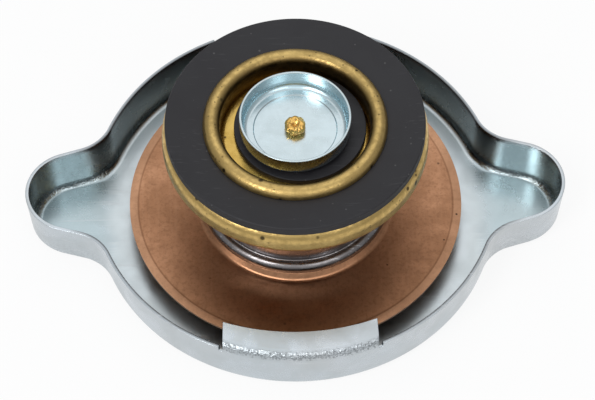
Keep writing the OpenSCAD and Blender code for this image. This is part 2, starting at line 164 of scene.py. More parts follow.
def smooth(piece):
    """Smooth shading that keeps flat faces flat and true edges sharp."""
    bpy.ops.object.select_all(action="DESELECT")
    piece.select_set(True)
    bpy.context.view_layer.objects.active = piece
    bpy.ops.object.shade_smooth_by_angle(angle=smooth_up_to)
    modify(piece, "WEIGHTED_NORMAL", keep_sharp=True)


def thicken(piece, thickness, edge):
    """Makes a bent sheet a finished wall with broken edges."""
    add_wall(piece, thickness)
    break_edges(piece, edge, segments=3)
    smooth(piece)


ear_x = ear_reach - ear_r
side_normal = Vector((sin(ear_flare), cos(ear_flare), 0))
side_way = Vector((cos(ear_flare), -sin(ear_flare), 0))
fillet_off = ear_x * sin(ear_flare) + ear_r + ear_fillet_r
fillet_along = sqrt((shell_r + ear_fillet_r) ** 2 - fillet_off ** 2)
fillet_c = fillet_off * side_normal + fillet_along * side_way
fillet_dir = atan2(fillet_c.y, fillet_c.x)
side_turn = pi / 2 - ear_flare
lip_a = asin(lip_half / shell_r)
notch_a = asin((lip_half + lip_notch) / shell_r)
lip_fold_z = lip_z - lip_tilt
notch_z = lip_fold_z - lip_bend_r - lip_notch_depth


def draw_outline(height, past_notch=True):
    """A quarter of the skirt's outline at a height, from an ear's tip round to the lip's notch, and on
    past the notch to the middle of the lip. The skirt leans in towards its foot."""
    start_at((ear_reach - skirt_lean * (rim_z - height), 0, height))
    arc((ear_x, 0, 0), side_turn, ear_steps, UP)
    side = fillet_c - Vector((ear_x, 0, 0)) - (ear_r + ear_fillet_r) * side_normal
    for step in range(side_steps):
        extrude(*(side / side_steps))
    arc(fillet_c, fillet_dir - side_turn, fillet_steps, UP)
    arc((0, 0, 0), pi / 2 - notch_a - fillet_dir, body_steps, UP)
    if past_notch:
        arc((0, 0, 0), notch_a - lip_a, notch_steps, UP)
        arc((0, 0, 0), lip_a, lip_steps, UP)


# The skirt up to the notch, and on up to its rim beside the notch
shell = new_piece("shell")
draw_outline(0)
draw_outline(notch_z)
pick(lambda p: near(p.z, 0) or near(p.z, notch_z))
bpy.ops.mesh.bridge_edge_loops()
draw_outline(rim_z, past_notch=False)
root_r = shell_r - skirt_lean * (rim_z - notch_z)
notch_x = root_r * sin(notch_a) - slack
lip_side_y = 0.8 * shell_r
pick(lambda p: near(p.z, rim_z) or near(p.z, notch_z) and (p.x > notch_x or p.y < lip_side_y))
bpy.ops.mesh.bridge_edge_loops()

# The lip, folded in to its own curved edge
pick(lambda p: near(p.z, notch_z) and p.x < lip_half + slack and p.y > lip_side_y)
extrude(0, 0, lip_fold_z - notch_z)
start_at((0, lip_reach, lip_z))
arc((0, lip_reach - lip_edge_r, lip_z), -asin(lip_end / lip_edge_r), lip_steps, UP)
pick(lambda p: p.z > lip_fold_z - slack)
bpy.ops.mesh.bridge_edge_loops()
pick(lambda p: near(p.z, lip_fold_z) and near(from_axis(p), root_r))
bend(lip_bend_r, bend_steps)

# The floor, and the boss raised in its middle
start_at((boss_wall_r, 0, 0))
outline_steps = ear_steps + side_steps + fillet_steps + body_steps + notch_steps + lip_steps
arc((0, 0, 0), pi / 2, outline_steps, UP)
pick(lambda p: near(p.z, 0))
bpy.ops.mesh.bridge_edge_loops()
pick(lambda p: near(p.z, 0) and near(from_axis(p), boss_wall_r))
extrude(0, 0, boss_rise)
bpy.ops.mesh.extrude_region_move()
hole_share = rivet_hole_r / boss_wall_r
bpy.ops.transform.resize(value=(hole_share, hole_share, 1), center_override=(0, 0, 0))
pick(lambda p: near(p.z, boss_rise) and near(from_axis(p), boss_wall_r))
bend(boss_top_bend_r, boss_bend_steps)
pick(lambda p: near(p.z, 0) and near(from_axis(p), boss_wall_r))
bend(boss_foot_bend_r, boss_bend_steps)
pick(lambda p: near(p.z, 0) and from_axis(p) > 2 * boss_wall_r)
bend(foot_bend_r, bend_steps)
pick(lambda p: near(p.z, 0), longer_than=4 * foot_bend_r)
bpy.ops.mesh.subdivide(number_cuts=floor_cuts)
bpy.ops.object.mode_set(mode="OBJECT")

modify(shell, "MIRROR", use_axis=(True, True, False), merge_threshold=slack)
bpy.ops.object.mode_set(mode="EDIT")
merge_and_face_out()
bpy.ops.object.mode_set(mode="OBJECT")
thicken(shell, sheet, sheared_edge)
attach(shell, "shell")
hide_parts("cap_shell")


def add(tree, kind, inputs=None, **settings):
    """Adds a shader node with its settings, its inputs set to values or joined to sockets."""
    made = tree.nodes.new("ShaderNode" + kind)
    for name, value in settings.items():
        setattr(made, name, value)
    for name, value in (inputs or {}).items():
        if isinstance(value, bpy.types.NodeSocket):
            tree.links.new(value, made.inputs[name])
        else:
            made.inputs[name].default_value = value
    return made


def maths(tree, operation, first, second):
    return add(tree, "Math", {0: first, 1: second}, operation=operation).outputs[0]


def times(tree, value, amount):
    return maths(tree, "MULTIPLY", value, amount)


def plus(tree, value, mask, amount):
    """A value with so much of a mask added to it."""
    return maths(tree, "ADD", value, times(tree, mask, amount))


def ramp(tree, value, low, high, to_low=0.0, to_high=1.0):
    """A value taken from one range to another, with soft ends."""
    limits = {"Value": value, "From Min": low, "From Max": high, "To Min": to_low, "To Max": to_high}
    return add(tree, "MapRange", limits, interpolation_type="SMOOTHSTEP").outputs[0]


def between(tree, mask, low, high):
    """A value that goes from low to high with a mask."""
    return ramp(tree, mask, 0, 1, low, high)


def tint(tree, mask, first, second):
    """One colour turning into another by a mask."""
    return add(tree, "Mix", {0: mask, 6: first, 7: second}, data_type="RGBA").outputs[2]


def stain(tree, colour, second, mask, amount):
    """A colour that turns so far into a second one where the mask is."""
    return tint(tree, times(tree, mask, amount), colour, second)


def noise(tree, place, scale, detail, **inputs):
    return add(tree, "TexNoise", {"Vector": place, "Scale": scale, "Detail": detail, **inputs}).outputs[0]


def new_effect(name, **inputs):
    """A node group that puts out a mask, from a Vector and from numbers with these defaults."""
    group = bpy.data.node_groups.new(name, "ShaderNodeTree")
    group.interface.new_socket("Vector", in_out="INPUT", socket_type="NodeSocketVector")
    for label, default in inputs.items():
        socket = group.interface.new_socket(label, in_out="INPUT", socket_type="NodeSocketFloat")
        socket.default_value = default
    group.interface.new_socket("Mask", in_out="OUTPUT", socket_type="NodeSocketFloat")
    given = group.nodes.new("NodeGroupInput").outputs
    return group, given, group.nodes.new("NodeGroupOutput").inputs["Mask"]


def effect(tree, group, place, **inputs):
    """Places a node group in a material with its own numbers, and gives its mask."""
    made = tree.nodes.new("ShaderNodeGroup")
    made.node_tree = group
    tree.links.new(place, made.inputs["Vector"])
    for label, value in inputs.items():
        made.inputs[label].default_value = value
    return made.outputs["Mask"]


# Clouded patches, as of uneven plating or tarnish: 0 to 1
patches, given, wanted = new_effect("patches", Scale=300.0, Spread=0.15)
cloud = noise(patches, given["Vector"], given["Scale"], 5.0, Roughness=0.62, Distortion=0.4)
low = maths(patches, "SUBTRACT", 0.5, given["Spread"])
high = maths(patches, "ADD", 0.5, given["Spread"])
patches.links.new(ramp(patches, cloud, low, high), wanted)

# Fine straight scuffs in two directions, broken up: 0 to 1
scuffs, given, wanted = new_effect("scuffs", Scale=100.0, Share=0.5)
scuff_stretch = (1.0, 24.0, 24.0)
lines = []
for slant in (0.5, 2.2):
    slanted = add(scuffs, "Mapping", {"Vector": given["Vector"], "Rotation": (0.3, 0.2, slant),
                                      "Scale": scuff_stretch}).outputs[0]
    lines.append(ramp(scuffs, noise(scuffs, slanted, given["Scale"], 2.0), 0.62, 0.72))
gaps = noise(scuffs, given["Vector"], given["Scale"], 2.0)
either = maths(scuffs, "MAXIMUM", lines[0], lines[1])
shown = times(scuffs, either, ramp(scuffs, gaps, 0.42, 0.6))
scuffs.links.new(times(scuffs, shown, given["Share"]), wanted)

# Scattered round pits or specks of differing size: 0 to 1
pits, given, wanted = new_effect("pits", Scale=900.0, Share=0.2, Size=0.3)
cells = add(pits, "TexVoronoi", {"Vector": given["Vector"], "Scale": given["Scale"]})
chance = add(pits, "SeparateColor", {0: cells.outputs["Color"]})
radius = times(pits, given["Size"], chance.outputs[1])
dark_core = times(pits, radius, 0.4)
spot = maths(pits, "SUBTRACT", 1.0, ramp(pits, cells.outputs["Distance"], dark_core, radius))
kept = maths(pits, "LESS_THAN", chance.outputs[0], given["Share"])
pits.links.new(times(pits, spot, kept), wanted)


def new_material(name, metallic=1.0):
    """A material, its node tree, its shader's inputs and its Object coordinates."""
    material = bpy.data.materials.new(name)
    material.use_nodes = True
    tree = material.node_tree
    shader = tree.nodes["Principled BSDF"].inputs
    shader["Metallic"].default_value = metallic
    return material, tree, shader, tree.nodes.new("ShaderNodeTexCoord").outputs["Object"]


def bump(tree, shader, height, depth):
    made = add(tree, "Bump", {"Height": height, "Distance": depth, "Strength": 1.0})
    tree.links.new(made.outputs[0], shader["Normal"])


def dress(piece, material):
    piece.data.materials.clear()
    piece.data.materials.append(material)


def mark(piece, name, value_at):
    """Stores a value at every point of a piece, from its place and its normal, for its material."""
    attribute = piece.data.attributes.new(name, "FLOAT", "POINT")
    for point, cell in zip(piece.data.vertices, attribute.data):
        cell.value = value_at(point.co, point.normal)


def marked(tree, name):
    """Reads what mark has stored."""
    return add(tree, "Attribute", attribute_name=name).outputs["Fac"]


def outwards(p, normal):
    """Above 0 where a surface faces away from the axis, below 0 where it faces the axis."""
    return normal.x * p.x + normal.y * p.y


def share(depth, whole):
    """0 to 1 as a depth goes from nothing to the whole."""
    return min(1.0, max(0.0, depth / whole))


ear_hollow_x, ear_hollow_fade = 28 * mm, 5 * mm
wall_top_z = rim_z - 0.2 * mm
wall_tilt = 0.8
ear_top_z = 0.5 * rim_z


def inner_walls_and_ear_floors(p, normal):
    """Darker, greener plating on the walls that face the axis and on the floors of the ears."""
    on_wall = outwards(p, normal) < 0 and normal.z < wall_tilt and p.z < wall_top_z
    in_ear = normal.z > 0 and p.z < ear_top_z
    ear = share(abs(p.x) - ear_hollow_x, ear_hollow_fade) if in_ear else 0.0
    return 1.0 if on_wall else ear


lip_pull_h, lip_pull_fade = 1.1 * mm, 0.1 * mm
ear_pull_x, ear_pull_z, ear_pull_fade = 31 * mm, 1.7 * mm, 0.2 * mm
ear_pull = 0.6


def stretched(p, normal):
    """How far the plating was stretched: on the lips' bends, and where the ears' walls meet the floor."""
    if abs(p.x) < lip_half:
        return share(min(lip_fold_z - p.z, p.z - lip_fold_z + lip_pull_h), lip_pull_fade)
    if abs(p.x) > ear_pull_x:
        return ear_pull * share(min(p.z - sheet, ear_pull_z - p.z), ear_pull_fade)
    return 0.0


floor_end_x = 30 * mm
floor_tilt = 0.9


def on_floor(p, normal):
    """The pan's floor between the ears, dulled by the die, and painted lighter as painted light."""
    return 1.0 if normal.z > floor_tilt and p.z < boss_rise and abs(p.x) < floor_end_x else 0.0


rim_shade_h = 0.3 * mm
rim_shade_end_x, rim_shade_fade = 37 * mm, 4 * mm
rim_shade_tilt = -0.01


def rim_shade_line(p, normal):
    """Painted shade: a near-black line on the inner corner of the sheared rim between the ears."""
    inner = outwards(p, normal) / from_axis(p) < rim_shade_tilt
    at_rim = abs(p.z - rim_z) < rim_shade_h and abs(p.x) > lip_half
    return share(rim_shade_end_x - abs(p.x), rim_shade_fade) if inner and at_rim else 0.0


plating_light = (0.535, 0.59, 0.635, 1)
plating_dull = (0.49, 0.54, 0.565, 1)
plating_warm = (0.54, 0.53, 0.52, 1)
plating_inner_tint = (0.37, 0.47, 0.49, 1)
plating_floor_painted_light = (0.62, 0.67, 0.675, 1)
plating_torn = (0.25, 0.27, 0.285, 1)
plating_scuffed = (0.78, 0.8, 0.82, 1)
rim_painted_shade = (0.05, 0.05, 0.052, 1)
mark(shell, "rim_shade_line", rim_shade_line)
mark(shell, "on_floor", on_floor)
mark(shell, "stretched", stretched)
mark(shell, "inner_walls_and_ear_floors", inner_walls_and_ear_floors)
zinc, tree, shader, place = new_material("zinc_plating")
clouds = effect(tree, patches, place, Scale=140.0, Spread=0.22)
warm = effect(tree, patches, place, Scale=45.0, Spread=0.2)
marks = effect(tree, scuffs, place, Scale=70.0, Share=0.7)
inner_tint = marked(tree, "inner_walls_and_ear_floors")
floor_dull_and_lit = marked(tree, "on_floor")
pull = marked(tree, "stretched")
crystals = noise(tree, place, 3000.0, 2.0)
torn = times(tree, ramp(tree, crystals, 0.45, 0.62), pull)
colour = tint(tree, clouds, plating_light, plating_dull)
colour = stain(tree, colour, plating_warm, warm, 0.35)
colour = stain(tree, colour, plating_inner_tint, inner_tint, 0.65)
# painted light: the pan's floor is painted lighter
colour = stain(tree, colour, plating_floor_painted_light, floor_dull_and_lit, 0.5)
# painted shade: a near-black line along the inner corner of the rim
colour = stain(tree, colour, rim_painted_shade, marked(tree, "rim_shade_line"), 0.9)
colour = stain(tree, colour, plating_torn, torn, 0.75)
colour = stain(tree, colour, plating_scuffed, marks, 0.35)
tree.links.new(colour, shader["Base Color"])
gloss = plus(tree, between(tree, clouds, 0.24, 0.34), marks, 0.12)
gloss = plus(tree, gloss, inner_tint, -0.03)
gloss = plus(tree, gloss, floor_dull_and_lit, 0.04)
tree.links.new(gloss, shader["Roughness"])
waves = noise(tree, place, 160.0, 2.0)
fine = noise(tree, place, 1500.0, 3.0)
height = plus(tree, times(tree, waves, 0.35), fine, 0.03)
height = plus(tree, height, times(tree, crystals, pull), 1.5)
bump(tree, shader, height, 0.1 * mm)
dress(shell, zinc)


# Centre rivet
# Zinc-plated steel rivet through the middle: its head lies in the recess of the outer face, and its
# other end is clinched inside the bell, so that the bell and the diaphragm can turn on it.
rivet_low, rivet_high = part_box("centre_rivet")
rivet_head_r = rivet_high.x
rivet_head_h = 1.5 * mm
clinch_r = 5 * mm
clinch_h = 1.4 * mm


def turn(name, start, *steps, inside=False, degrees_a_step=9, sides=160):
    """A turned piece. Its section is drawn from start = (radius, height): a step of two numbers is a
    line to that point, one of three an arc about that point through so many degrees, anticlockwise if
    positive."""
    piece = new_piece(name)
    start_at((start[0], 0, start[1]))
    pen = Vector(start)
    for radius, height, *degrees in steps:
        centre = Vector((radius, height))
        if degrees:
            count = max(2, round(abs(degrees[0]) / degrees_a_step))
            arc((radius, 0, height), radians(degrees[0]), count, (0, 1, 0))
            pen = centre + Matrix.Rotation(radians(degrees[0]), 2) @ (pen - centre)
        else:
            extrude(radius - pen.x, 0, height - pen.y)
            pen = centre
    bpy.ops.mesh.select_all(action="SELECT")
    arc((0, 0, 0), tau, sides, (0, 0, 1))
    merge_and_face_out(inside)
    bpy.ops.object.mode_set(mode="OBJECT")
    return piece


def dome(radius, rise):
    """Radius of the ball that a dome is cut from, and the angle of its half section in degrees."""
    ball = (radius * radius + rise * rise) / (2 * rise)
    return ball, asin(radius / ball) * 180 / pi


head_ball, head_turn = dome(rivet_head_r, rivet_head_h)
clinch_ball, clinch_turn = dome(clinch_r, clinch_h)
clinch_z = rivet_high.z - clinch_h
rivet = turn("rivet", (0, rivet_low.z), (0, rivet_low.z + head_ball, head_turn),
             (rivet_hole_r, boss_rise), (rivet_hole_r, clinch_z), (clinch_r, clinch_z),
             (0, rivet_high.z - clinch_ball, clinch_turn), sides=96)
smooth(rivet)
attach(rivet, "shell")
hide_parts("centre_rivet")
dress(rivet, zinc)


# Diaphragm
# Thin disc of rolled copper that presses on the rim of the filler neck: a raised pad under the bell, a
# springy annulus, and a flattened band along the edge with a groove inside it. It turns with the bell.
disc_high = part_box("diaphragm_disc")[1]
disc_r = disc_high.x
copper_t = 0.5 * mm
copper_edge = 0.1 * mm
swivel_hole_r = 3.05 * mm
pad_r = 15 * mm
pad_rise = 1 * mm
annulus_r = pad_r + pad_rise
annulus_z = disc_high.z - pad_rise
band_w = 1.4 * mm
band_drop, edge_drop = 0.16 * mm, 0.12 * mm
band_r = disc_r - band_w
band_z = annulus_z - band_drop
edge_z = band_z - edge_drop
groove_half = 0.22 * mm
groove_d = 0.08 * mm

# The pad's step is a short cone between two bends, midway between the radii of the pad and the annulus
step_turn = 50
step_top_r, step_foot_r = 0.4 * mm, 0.9 * mm
step_sin, step_cos = sin(radians(step_turn)), cos(radians(step_turn))
step_bends = step_top_r + step_foot_r
step_run = step_bends * step_sin + (pad_rise - step_bends * (1 - step_cos)) * step_cos / step_sin
step_r = (pad_r + annulus_r - step_run) / 2
step_end_r = step_r + step_run

# Faint rings round the pad: the sheet dips a little at every other one of these radii
ring_d = 0.03 * mm
ring_radii = [radius * mm for radius in (17.4, 17.7, 18, 19, 19.3, 19.6)]
rings = [(radius, annulus_z - ring_d * (i % 2)) for i, radius in enumerate(ring_radii)]
disc = turn("diaphragm", (swivel_hole_r, disc_high.z), (step_r, disc_high.z),
            (step_r, disc_high.z - step_top_r, -step_turn),
            (step_end_r - step_foot_r * step_sin, annulus_z + step_foot_r * (1 - step_cos)),
            (step_end_r, annulus_z + step_foot_r, step_turn), *rings,
            (band_r - groove_half, band_z), (band_r, band_z - groove_d), (band_r + groove_half, band_z),
            (disc_r, edge_z), sides=200)
thicken(disc, copper_t, copper_edge)
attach(disc, "bell")
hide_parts("diaphragm_disc")


def edge_band(p, normal):
    """The band along the edge, which is painted lighter as a painted highlight."""
    return 1.0 if from_axis(p) > band_r + 0.5 * groove_half else 0.0


def in_groove(p, normal):
    """The bottom of the groove, which is painted darker as painted shade."""
    return 1.0 if near(from_axis(p), band_r) else 0.0


def drawn_grain(tree, place, scale, detail):
    """Noise that is fine across the lines of rolling or drawing and long along them."""
    return noise(tree, add(tree, "Mapping", {"Vector": place, "Scale": scale}).outputs[0], 1.0, detail)


copper_light = (0.55, 0.285, 0.16, 1)
copper_dull = (0.45, 0.225, 0.12, 1)
copper_stained = (0.33, 0.16, 0.085, 1)
copper_lines = (0.58, 0.33, 0.20, 1)
copper_mottled = (0.27, 0.13, 0.07, 1)
copper_edge_highlight = (0.66, 0.39, 0.24, 1)
copper_groove_shade = (0.16, 0.075, 0.04, 1)
copper_specks = (0.06, 0.035, 0.025, 1)
mark(disc, "edge_band", edge_band)
mark(disc, "in_groove", in_groove)
copper, tree, shader, place = new_material("rolled_copper")
clouds = effect(tree, patches, place, Scale=120.0, Spread=0.2)
stains = effect(tree, patches, place, Scale=420.0, Spread=0.12)
specks = effect(tree, pits, place, Scale=420.0, Share=0.07, Size=0.22)
marks = effect(tree, scuffs, place, Scale=120.0, Share=0.8)
grain = drawn_grain(tree, place, (3200.0, 90.0, 90.0), 3.0)
mottle = noise(tree, place, 1700.0, 3.0, Roughness=0.7)
colour = tint(tree, clouds, copper_light, copper_dull)
colour = stain(tree, colour, copper_stained, stains, 0.3)
colour = stain(tree, colour, copper_lines, ramp(tree, grain, 0.4, 0.7), 0.12)
colour = stain(tree, colour, copper_mottled, ramp(tree, mottle, 0.45, 0.68), 0.4)
# painted highlight: the band along the edge is painted lighter
colour = stain(tree, colour, copper_edge_highlight, marked(tree, "edge_band"), 0.3)
# painted shade: the bottom of the groove is painted darker
colour = stain(tree, colour, copper_groove_shade, marked(tree, "in_groove"), 0.5)
tree.links.new(tint(tree, specks, colour, copper_specks), shader["Base Color"])
gloss = plus(tree, between(tree, clouds, 0.31, 0.39), marks, 0.1)
tree.links.new(gloss, shader["Roughness"])
height = plus(tree, times(tree, grain, 0.06), clouds, 0.1)
height = plus(tree, height, mottle, 0.1)
bump(tree, shader, height, 0.1 * mm)

# The rolling lines run along Y, so they spread reflections along X, which is the U of a flat map
flat_map = disc.data.uv_layers.new(name="rolled")
for corner, cell in zip(disc.data.loops, flat_map.uv):
    cell.vector = disc.data.vertices[corner.vertex_index].co.xy / disc_r
shader["Anisotropic"].default_value = 0.85
lines_way = add(tree, "Tangent", direction_type="UV_MAP", uv_map="rolled").outputs[0]
tree.links.new(lines_way, shader["Tangent"])
dress(disc, copper)


# Bell
# Drawn steel cup, left bare, that holds the pressure spring. Its floor turns on the rivet, its foot is
# folded out in a round bead, its mouth is turned in to keep the valve, and four windows in its wall let
# the coolant back.
bell_low, bell_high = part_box("bell_housing")
bead_r = 1.2 * mm
bead_fold_r = 0.3 * mm
bead_c_r = bell_high.x - bead_r
bell_r = bead_c_r - bead_fold_r
bell_t = 0.8 * mm
bell_edge = 0.1 * mm
bell_mouth_r = 1.4 * mm
mouth_r = 12.3 * mm
window_r = 1.6 * mm
windows = 4
hole_sides = 48
fold_z = bell_low.z + 2 * bead_r + bead_fold_r
bell_bend_z = bell_high.z - bell_mouth_r
bell = turn("bell", (swivel_hole_r, bell_low.z), (bead_c_r, bell_low.z),
            (bead_c_r, bell_low.z + bead_r, 180), (bead_c_r, fold_z, -90), (bell_r, bell_bend_z),
            (bell_r - bell_mouth_r, bell_bend_z, 90), (mouth_r, bell_high.z))
add_wall(bell, bell_t)


def drill(piece, radius, depth, place, axis):
    """Cuts a round hole through the piece, about a place and along an axis."""
    bpy.ops.object.select_all(action="DESELECT")
    turned = Vector(axis).to_track_quat("Z", "Y").to_euler()
    bpy.ops.mesh.primitive_cylinder_add(vertices=hole_sides, radius=radius, depth=depth,
                                        location=place, rotation=turned)
    cutter = bpy.context.object
    modify(piece, "BOOLEAN", object=cutter, operation="DIFFERENCE", solver="EXACT")
    bpy.data.objects.remove(cutter)


def spokes(count, first=0):
    """Directions spread evenly round the axis."""
    angles = [first + i * tau / count for i in range(count)]
    return [Vector((cos(angle), sin(angle), 0)) for angle in angles]


window_z = (fold_z + bell_bend_z) / 2
for way in spokes(windows, first=pi / 4):
    drill(bell, window_r, bell_r, bell_r * way + Vector((0, 0, window_z)), way)
break_edges(bell, bell_edge)
smooth(bell)
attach(bell, "bell")
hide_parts("bell_housing")

# Painted shade: the steel's colours are set darker still, for the shade under the brass dish
bell_light = (0.28, 0.265, 0.27, 1)
bell_dull = (0.21, 0.195, 0.195, 1)
bell_scuffed = (0.62, 0.62, 0.64, 1)
steel, tree, shader, place = new_material("drawn_steel")
clouds = effect(tree, patches, place, Scale=260.0, Spread=0.2)
marks = effect(tree, scuffs, place, Scale=120.0, Share=0.8)
grain = drawn_grain(tree, place, (2400.0, 2400.0, 120.0), 2.0)
colour = tint(tree, clouds, bell_light, bell_dull)
tree.links.new(tint(tree, marks, colour, bell_scuffed), shader["Base Color"])
tree.links.new(between(tree, clouds, 0.22, 0.34), shader["Roughness"])
bump(tree, shader, grain, 0.006 * mm)
dress(bell, steel)


# Springs
# Plated round wire, wound with closed ends: a strong spring from the bell's floor up to the vacuum seat,
# and a light one from the seat down to the keeper on the vacuum stem.
closed_turns = 0.75
closed_pitch = 1.05
sections_a_turn = 40
wire_sides = 16


def wind(name, node, wire, turns):
    """A compression spring that fills the box of its node."""
    low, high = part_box(node)
    closed_rise = closed_pitch * wire
    free_rise = (high.z - low.z - wire - 2 * closed_turns * closed_rise) / turns
    bpy.ops.object.select_all(action="DESELECT")
    bpy.ops.mesh.primitive_circle_add(vertices=wire_sides, radius=wire / 2, rotation=(pi / 2, 0, 0),
                                      fill_type="NGON", location=(high.x - wire / 2, 0, low.z + wire / 2))
    piece = bpy.context.object
    piece.name = piece.data.name = name
    bpy.ops.object.transform_apply()
    bpy.ops.object.mode_set(mode="EDIT")
    bpy.ops.mesh.select_all(action="SELECT")
    for stretch, rise in ((closed_turns, closed_rise), (turns, free_rise), (closed_turns, closed_rise)):
        count = round(stretch * sections_a_turn)
        for i in range(count):
            extrude(0, 0, rise * stretch / count)
            bpy.ops.transform.rotate(value=-tau * stretch / count, orient_axis="Z",
                                     center_override=(0, 0, 0))
    merge_and_face_out()
    bpy.ops.object.mode_set(mode="OBJECT")
    smooth(piece)
    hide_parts(node)
    return piece


wire_light = (0.58, 0.60, 0.63, 1)
wire_dull = (0.44, 0.45, 0.48, 1)
wire_steel, tree, shader, place = new_material("spring_wire")
clouds = effect(tree, patches, place, Scale=500.0, Spread=0.2)
tree.links.new(tint(tree, clouds, wire_light, wire_dull), shader["Base Color"])
tree.links.new(between(tree, clouds, 0.22, 0.36), shader["Roughness"])
bump(tree, shader, clouds, 0.01 * mm)

strong_wire, strong_turns = 1.9 * mm, 3.5
pressure_spring = wind("strong_spring", "pressure_spring", strong_wire, strong_turns)
dress(pressure_spring, wire_steel)
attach(pressure_spring, "bell")
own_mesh(pressure_spring)

light_wire, light_turns = 0.55 * mm, 4
vacuum_spring = wind("light_spring", "vacuum_spring", light_wire, light_turns)
dress(vacuum_spring, wire_steel)
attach(vacuum_spring, "pressure_valve")
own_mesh(vacuum_spring)


# Vacuum seat
# A hat of clean pressed brass, pushed up into the dish's neck tube. Its flange is caught under the bell's
# mouth, its crown is the seat of the vacuum valve, and six holes in the crown are the way of the flow.
seat_low, seat_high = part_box("vacuum_seat")
flange_r = seat_high.x
seat_t = 0.6 * mm
seat_edge = 0.06 * mm
tube_r = 11.9 * mm
crown_bend_r = 0.8 * mm
guide_r = 1.15 * mm
flow_holes = 6
flow_hole_r = 1.1 * mm
flow_pitch_r = 6.2 * mm
flange_z = seat_low.z + seat_t
crown_z = seat_high.z
crown_bend_z = crown_z - crown_bend_r
seat = turn("vacuum_valve_seat", (flange_r, flange_z), (tube_r, flange_z), (tube_r, crown_bend_z),
            (tube_r - crown_bend_r, crown_bend_z, 90), (guide_r, crown_z), inside=True)
add_wall(seat, seat_t)
for way in spokes(flow_holes):
    drill(seat, flow_hole_r, 4 * seat_t, flow_pitch_r * way + Vector((0, 0, crown_z)), (0, 0, 1))
break_edges(seat, seat_edge)
smooth(seat)
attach(seat, "pressure_valve")
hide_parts("vacuum_seat")

seat_light = (0.62, 0.42, 0.12, 1)
seat_dull = (0.52, 0.33, 0.075, 1)
seat_specks = (0.10, 0.06, 0.02, 1)
clean_brass, tree, shader, place = new_material("clean_brass")
clouds = effect(tree, patches, place, Scale=350.0, Spread=0.2)
specks = effect(tree, pits, place, Scale=800.0, Share=0.12, Size=0.4)
marks = effect(tree, scuffs, place, Scale=120.0, Share=0.8)
colour = tint(tree, clouds, seat_light, seat_dull)
tree.links.new(tint(tree, specks, colour, seat_specks), shader["Base Color"])
gloss = plus(tree, between(tree, clouds, 0.2, 0.32), marks, 0.1)
tree.links.new(gloss, shader["Roughness"])
bump(tree, shader, maths(tree, "SUBTRACT", clouds, specks), 0.015 * mm)
dress(seat, clean_brass)


# Brass dish
# Dull pressed brass: a dish with its rim turned in round the rubber, and a neck tube in the middle that
# is curled over the rubber to hold it down. The sheet is mottled and pitted, and its wall has drawing
# lines.
dish_low, dish_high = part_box("seal_dish")
dish_r = dish_high.x
dish_t = 0.6 * mm
dish_edge = 0.1 * mm
dish_rim_r = 2 * mm
dish_rim_turn = 75
dish_wall_h = 2.668 * mm
dish_bend_r = 1.5 * mm
tube_bend_r = 0.8 * mm
curl_r = 1.36 * mm
curl_turn = 182
dish_rim_c = dish_r - dish_rim_r
dish_rim_z = dish_low.z + dish_wall_h
dish_bend_z = dish_low.z + dish_bend_r
curl_z = dish_high.z - curl_r
rim_start = (dish_rim_c + dish_rim_r * cos(radians(dish_rim_turn)),
             dish_rim_z + dish_rim_r * sin(radians(dish_rim_turn)))
dish = turn("brass_dish", rim_start, (dish_rim_c, dish_rim_z, -dish_rim_turn),
            (dish_r, dish_bend_z), (dish_r - dish_bend_r, dish_bend_z, -90),
            (tube_r + tube_bend_r, dish_low.z), (tube_r + tube_bend_r, dish_low.z + tube_bend_r, -90),
            (tube_r, curl_z), (tube_r + curl_r, curl_z, -curl_turn), sides=200)
thicken(dish, dish_t, dish_edge)
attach(dish, "pressure_valve")
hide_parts("seal_dish")

tube_dark_end, tube_dark_fade = 0.9 * mm, 0.7 * mm


def in_tube(p, normal):
    """From the curl's crest into the tube: unpolished, tarnished brass, darkened by painted shade."""
    return share(tube_r + tube_dark_end - from_axis(p), tube_dark_fade)


dish_light = (0.64, 0.45, 0.17, 1)
dish_dull = (0.52, 0.365, 0.135, 1)
dish_tarnished = (0.34, 0.235, 0.085, 1)
dish_tube_tarnish_and_shade = (0.11, 0.062, 0.022, 1)
dish_pits = (0.09, 0.065, 0.03, 1)
mark(dish, "in_tube", in_tube)
brass, tree, shader, place = new_material("dull_brass")
clouds = effect(tree, patches, place, Scale=420.0, Spread=0.2)
tarnish = effect(tree, patches, place, Scale=1100.0, Spread=0.14)
specks = effect(tree, pits, place, Scale=700.0, Share=0.1, Size=0.42)
dots = effect(tree, pits, place, Scale=1900.0, Share=0.16, Size=0.5)
dark = maths(tree, "MAXIMUM", specks, times(tree, dots, 0.6))
colour = tint(tree, clouds, dish_light, dish_dull)
colour = stain(tree, colour, dish_tarnished, tarnish, 0.4)
# tarnish and painted shade inside the neck tube
colour = stain(tree, colour, dish_tube_tarnish_and_shade, marked(tree, "in_tube"), 0.85)
tree.links.new(tint(tree, dark, colour, dish_pits), shader["Base Color"])
tree.links.new(between(tree, tarnish, 0.3, 0.46), shader["Roughness"])
grain = drawn_grain(tree, place, (2200.0, 2200.0, 160.0), 2.0)
sanded = noise(tree, place, 4200.0, 3.0)
height = plus(tree, times(tree, grain, 0.3), clouds, 0.5)
height = plus(tree, height, sanded, 0.9)
bump(tree, shader, maths(tree, "SUBTRACT", height, dark), 0.03 * mm)
dress(dish, brass)


